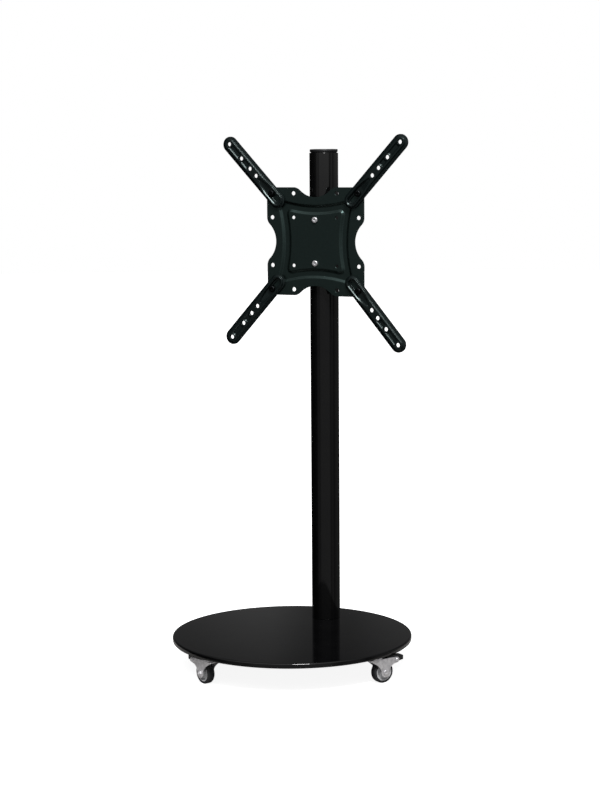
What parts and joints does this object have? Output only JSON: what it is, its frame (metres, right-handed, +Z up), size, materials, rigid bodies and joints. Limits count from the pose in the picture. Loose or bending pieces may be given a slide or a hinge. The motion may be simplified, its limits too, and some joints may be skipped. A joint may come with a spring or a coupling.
{
  "type": "mobile tv stand",
  "caption": "Floor stand for a flat screen: round weighted base on braked swivel casters, single round pole and a stamped screen plate with swinging, sliding arms.",
  "frame": {"origin": "on the floor, under the centre of the round base", "axes": "+Z up, -Y the side the screen faces, +X to the right as seen from the screen side"},
  "size_m": [0.521, 0.495, 1.0886],
  "materials": {
    "coated_gloss": "gloss black powder coat",
    "coated_plate": "fine-textured satin black coat",
    "coated_arm": "satin black coat",
    "zinc": "bright zinc plate",
    "black_screw": "blackened steel",
    "black_plastic": "moulded, satin",
    "tyre": "matte elastomer tread",
    "wheel_core": "moulded grey, satin"
  },
  "bodies": {
    "stand": {"base_plate": "coated_gloss", "pole_tube": "coated_gloss", "pole_foot_plug": "zinc", "pole_end_cap": "black_plastic", "pole_foot_screw_1": "zinc", "pole_foot_screw_2": "zinc", "pole_foot_screw_3": "zinc", "pole_foot_screw_4": "zinc", "plate_saddle": "coated_arm", "screen_plate": "coated_plate", "centre_screw_upper": "zinc", "rivet_nut_upper": "zinc", "centre_screw_lower": "zinc", "rivet_nut_lower": "zinc", "caster_1_stem": "zinc", "caster_2_stem": "zinc", "caster_3_stem": "zinc", "caster_4_stem": "zinc"},
    "upper_left_pivot": {"pivot_screw_upper_left": "black_screw", "pivot_nut_upper_left": "zinc"},
    "upper_left_arm": {"arm_upper_left": "coated_arm"},
    "upper_right_pivot": {"pivot_screw_upper_right": "black_screw", "pivot_nut_upper_right": "zinc"},
    "upper_right_arm": {"arm_upper_right": "coated_arm"},
    "lower_left_pivot": {"pivot_screw_lower_left": "black_screw", "pivot_nut_lower_left": "zinc"},
    "lower_left_arm": {"arm_lower_left": "coated_arm"},
    "lower_right_pivot": {"pivot_screw_lower_right": "black_screw", "pivot_nut_lower_right": "zinc"},
    "lower_right_arm": {"arm_lower_right": "coated_arm"},
    "caster_1_yoke": {"caster_1_fork": "zinc", "caster_1_axle": "zinc", "caster_1_axle_nut": "zinc", "caster_1_lever_pin": "zinc"},
    "caster_1_wheel": {"caster_1_wheel_core": "wheel_core", "caster_1_tyre": "tyre"},
    "caster_1_pedal": {"caster_1_brake_lever": "black_plastic"},
    "caster_2_yoke": {"caster_2_fork": "zinc", "caster_2_axle": "zinc", "caster_2_axle_nut": "zinc", "caster_2_lever_pin": "zinc"},
    "caster_2_wheel": {"caster_2_wheel_core": "wheel_core", "caster_2_tyre": "tyre"},
    "caster_2_pedal": {"caster_2_brake_lever": "black_plastic"},
    "caster_3_yoke": {"caster_3_fork": "zinc", "caster_3_axle": "zinc", "caster_3_axle_nut": "zinc", "caster_3_lever_pin": "zinc"},
    "caster_3_wheel": {"caster_3_wheel_core": "wheel_core", "caster_3_tyre": "tyre"},
    "caster_3_pedal": {"caster_3_brake_lever": "black_plastic"},
    "caster_4_yoke": {"caster_4_fork": "zinc", "caster_4_axle": "zinc", "caster_4_axle_nut": "zinc", "caster_4_lever_pin": "zinc"},
    "caster_4_wheel": {"caster_4_wheel_core": "wheel_core", "caster_4_tyre": "tyre"},
    "caster_4_pedal": {"caster_4_brake_lever": "black_plastic"}
  },
  "joints": [
    {"name": "upper_left_swing", "type": "hinge", "parent": "stand", "child": "upper_left_pivot", "pos_m": [-0.1, 0.1165, 0.969], "axis": [0, -1, 0], "range_deg": [-43, 46]},
    {"name": "upper_left_reach", "type": "slide", "parent": "upper_left_pivot", "child": "upper_left_arm", "axis": [-0.6884, 0, 0.7254], "range_m": [0, 0.02]},
    {"name": "upper_right_swing", "type": "hinge", "parent": "stand", "child": "upper_right_pivot", "pos_m": [0.1, 0.1165, 0.969], "axis": [0, -1, 0], "range_deg": [-47, 42]},
    {"name": "upper_right_reach", "type": "slide", "parent": "upper_right_pivot", "child": "upper_right_arm", "axis": [0.6794, 0, 0.7337], "range_m": [0, 0.02]},
    {"name": "lower_left_swing", "type": "hinge", "parent": "stand", "child": "lower_left_pivot", "pos_m": [-0.1, 0.1165, 0.769], "axis": [0, -1, 0], "range_deg": [-47, 42]},
    {"name": "lower_left_reach", "type": "slide", "parent": "lower_left_pivot", "child": "lower_left_arm", "axis": [-0.6743, 0, -0.7385], "range_m": [0, 0.02]},
    {"name": "lower_right_swing", "type": "hinge", "parent": "stand", "child": "lower_right_pivot", "pos_m": [0.1, 0.1165, 0.769], "axis": [0, -1, 0], "range_deg": [-40, 49]},
    {"name": "lower_right_reach", "type": "slide", "parent": "lower_right_pivot", "child": "lower_right_arm", "axis": [0.6468, 0, -0.7627], "range_m": [0, 0.02]},
    {"name": "caster_1_swivel", "type": "hinge", "parent": "stand", "child": "caster_1_yoke", "pos_m": [0.22031, -0.06946, 0.052], "axis": [0, 0, 1], "continuous": true},
    {"name": "caster_1_roll", "type": "hinge", "parent": "caster_1_yoke", "child": "caster_1_wheel", "pos_m": [0.22931, -0.05387, 0.0225], "axis": [-0.866, 0.5, 0], "continuous": true},
    {"name": "caster_1_brake", "type": "hinge", "parent": "caster_1_yoke", "child": "caster_1_pedal", "pos_m": [0.24331, -0.02963, 0.045], "axis": [0.866, -0.5, 0], "range_deg": [0, 7]},
    {"name": "caster_2_swivel", "type": "hinge", "parent": "stand", "child": "caster_2_yoke", "pos_m": [0.06946, 0.22031, 0.052], "axis": [0, 0, 1], "continuous": true},
    {"name": "caster_2_roll", "type": "hinge", "parent": "caster_2_yoke", "child": "caster_2_wheel", "pos_m": [0.08578, 0.2127, 0.0225], "axis": [0.4226, 0.9063, 0], "continuous": true},
    {"name": "caster_2_brake", "type": "hinge", "parent": "caster_2_yoke", "child": "caster_2_pedal", "pos_m": [0.11115, 0.20087, 0.045], "axis": [-0.4226, -0.9063, 0], "range_deg": [0, 7]},
    {"name": "caster_3_swivel", "type": "hinge", "parent": "stand", "child": "caster_3_yoke", "pos_m": [-0.22031, 0.06946, 0.052], "axis": [0, 0, 1], "continuous": true},
    {"name": "caster_3_roll", "type": "hinge", "parent": "caster_3_yoke", "child": "caster_3_wheel", "pos_m": [-0.22931, 0.05387, 0.0225], "axis": [0.866, -0.5, 0], "continuous": true},
    {"name": "caster_3_brake", "type": "hinge", "parent": "caster_3_yoke", "child": "caster_3_pedal", "pos_m": [-0.24331, 0.02963, 0.045], "axis": [-0.866, 0.5, 0], "range_deg": [0, 7]},
    {"name": "caster_4_swivel", "type": "hinge", "parent": "stand", "child": "caster_4_yoke", "pos_m": [-0.06946, -0.22031, 0.052], "axis": [0, 0, 1], "continuous": true},
    {"name": "caster_4_roll", "type": "hinge", "parent": "caster_4_yoke", "child": "caster_4_wheel", "pos_m": [-0.08578, -0.2127, 0.0225], "axis": [-0.4226, -0.9063, 0], "continuous": true},
    {"name": "caster_4_brake", "type": "hinge", "parent": "caster_4_yoke", "child": "caster_4_pedal", "pos_m": [-0.11115, -0.20087, 0.045], "axis": [0.4226, 0.9063, 0], "range_deg": [0, 7]}
  ]
}
